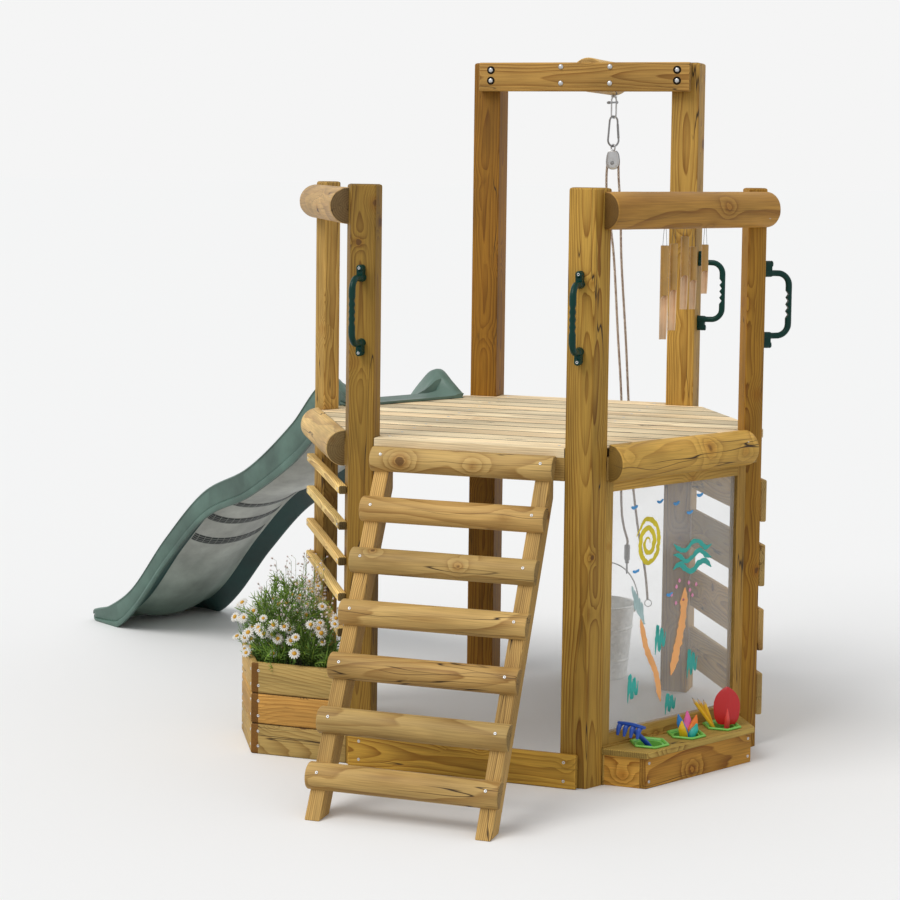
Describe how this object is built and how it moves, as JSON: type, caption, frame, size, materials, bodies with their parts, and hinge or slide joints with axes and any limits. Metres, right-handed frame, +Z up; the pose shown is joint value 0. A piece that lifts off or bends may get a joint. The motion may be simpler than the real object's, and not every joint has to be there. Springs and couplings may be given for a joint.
{
  "type": "play treehouse",
  "caption": "Six-sided wooden play tower with a deck, ladder, wavy slide, climbing boards, paint window, planter, wind chimes and a rope pulley with a bucket.",
  "frame": {"origin": "middle of the footprint on the ground, the slide and the ladder included", "axes": "+Z up, the ladder side faces -Y, the window and pot shelf face +X and -Y, the slide runs out towards -X and +Y"},
  "size_m": [2.5916, 2.2854, 1.984],
  "materials": {
    "pine": "clear varnished softwood",
    "deck_pine": "pale planed boards",
    "shelf_pine": "pale varnished softwood",
    "slide_green": "moulded, fine grain",
    "handle_green": "moulded, satin",
    "zinc_steel": "bright zinc",
    "galvanised": "galvanised sheet",
    "rope": "braided, with a pale fleck",
    "bamboo": "stained cane",
    "clear_plastic": "clear sheet with paint",
    "cup_green": "bright green",
    "leaf": "leaves, flowers and soil"
  },
  "bodies": {
    "tower": {"carabiner": "zinc_steel", "climbing_board_1": "pine", "climbing_board_2": "pine", "climbing_board_3": "pine", "climbing_board_4": "pine", "crossbar": "pine", "deck_boards": "deck_pine", "deck_frame": "pine", "deck_log_left": "pine", "deck_log_right": "pine", "eye_bolt": "zinc_steel", "grab_handle_back_right": "handle_green", "grab_handle_front_left": "handle_green", "grab_handle_front_right": "handle_green", "grab_handle_right": "handle_green", "handrail_log_left": "pine", "handrail_log_right": "pine", "kickboard_front": "pine", "ladder_rung_1": "pine", "ladder_rung_2": "pine", "ladder_rung_3": "pine", "ladder_rung_4": "pine", "ladder_rung_5": "pine", "ladder_rung_6": "pine", "ladder_rung_7": "pine", "ladder_stringer_left": "pine", "ladder_stringer_right": "pine", "paint_cup_1": "cup_green", "paint_cup_2": "cup_green", "paint_cup_3": "cup_green", "planter_box": "pine", "planter_planting": "leaf", "post_back_left": "pine", "post_back_right": "pine", "post_front_left": "pine", "post_front_right": "pine", "post_left": "pine", "post_right": "pine", "pot_shelf": "shelf_pine", "pulley_arm": "pine", "pulley_block": "zinc_steel", "rope_bucket_side": "rope", "rope_hand_side": "rope", "side_batten_1": "pine", "side_batten_2": "pine", "side_batten_3": "pine", "side_batten_4": "pine", "side_batten_5": "pine", "slide": "slide_green", "window_frame": "pine", "window_pane": "clear_plastic"},
    "hook_and_handle": {"snap_hook": "zinc_steel", "bucket_handle": "zinc_steel"},
    "bucket": {"bucket": "galvanised"},
    "wheel": {"pulley_wheel": "zinc_steel"},
    "chime_1": {"chime_1": "bamboo"},
    "chime_2": {"chime_2": "bamboo"},
    "chime_3": {"chime_3": "bamboo"},
    "chime_4": {"chime_4": "bamboo"},
    "chime_5": {"chime_5": "bamboo"}
  },
  "joints": [
    {"name": "bucket_hoist", "type": "slide", "parent": "tower", "child": "hook_and_handle", "axis": [-0.1042, 0.1267, 0.9865], "range_m": [0, 0.85], "deforming": ["rope_bucket_side"]},
    {"name": "bucket_tip", "type": "hinge", "parent": "hook_and_handle", "child": "bucket", "pos_m": [0.60066, 0.63321, 0.222], "axis": [0.9588, 0.284, 0], "range_deg": [-45, 45]},
    {"name": "pulley_spin", "type": "hinge", "parent": "tower", "child": "wheel", "pos_m": [0.56466, 0.81321, 1.6559], "axis": [0, 1, 0], "range_deg": [0, 2640]},
    {"name": "chime_1_swing", "type": "hinge", "parent": "tower", "child": "chime_1", "pos_m": [1.02805, -0.41718, 1.48055], "axis": [0.5, 0.866, 0], "range_deg": [-12, 12]},
    {"name": "chime_2_swing", "type": "hinge", "parent": "tower", "child": "chime_2", "pos_m": [1.04555, -0.38687, 1.48055], "axis": [0.5, 0.866, 0], "range_deg": [-12, 12]},
    {"name": "chime_3_swing", "type": "hinge", "parent": "tower", "child": "chime_3", "pos_m": [1.06755, -0.34876, 1.48055], "axis": [0.5, 0.866, 0], "range_deg": [-12, 12]},
    {"name": "chime_4_swing", "type": "hinge", "parent": "tower", "child": "chime_4", "pos_m": [1.08505, -0.31845, 1.48055], "axis": [0.5, 0.866, 0], "range_deg": [-12, 12]},
    {"name": "chime_5_swing", "type": "hinge", "parent": "tower", "child": "chime_5", "pos_m": [1.10805, -0.27862, 1.48055], "axis": [0.5, 0.866, 0], "range_deg": [-12, 12]}
  ],
  "couplings": [
    {"joint": "pulley_spin", "follows": "bucket_hoist", "rad_per_m": 54.054}
  ]
}
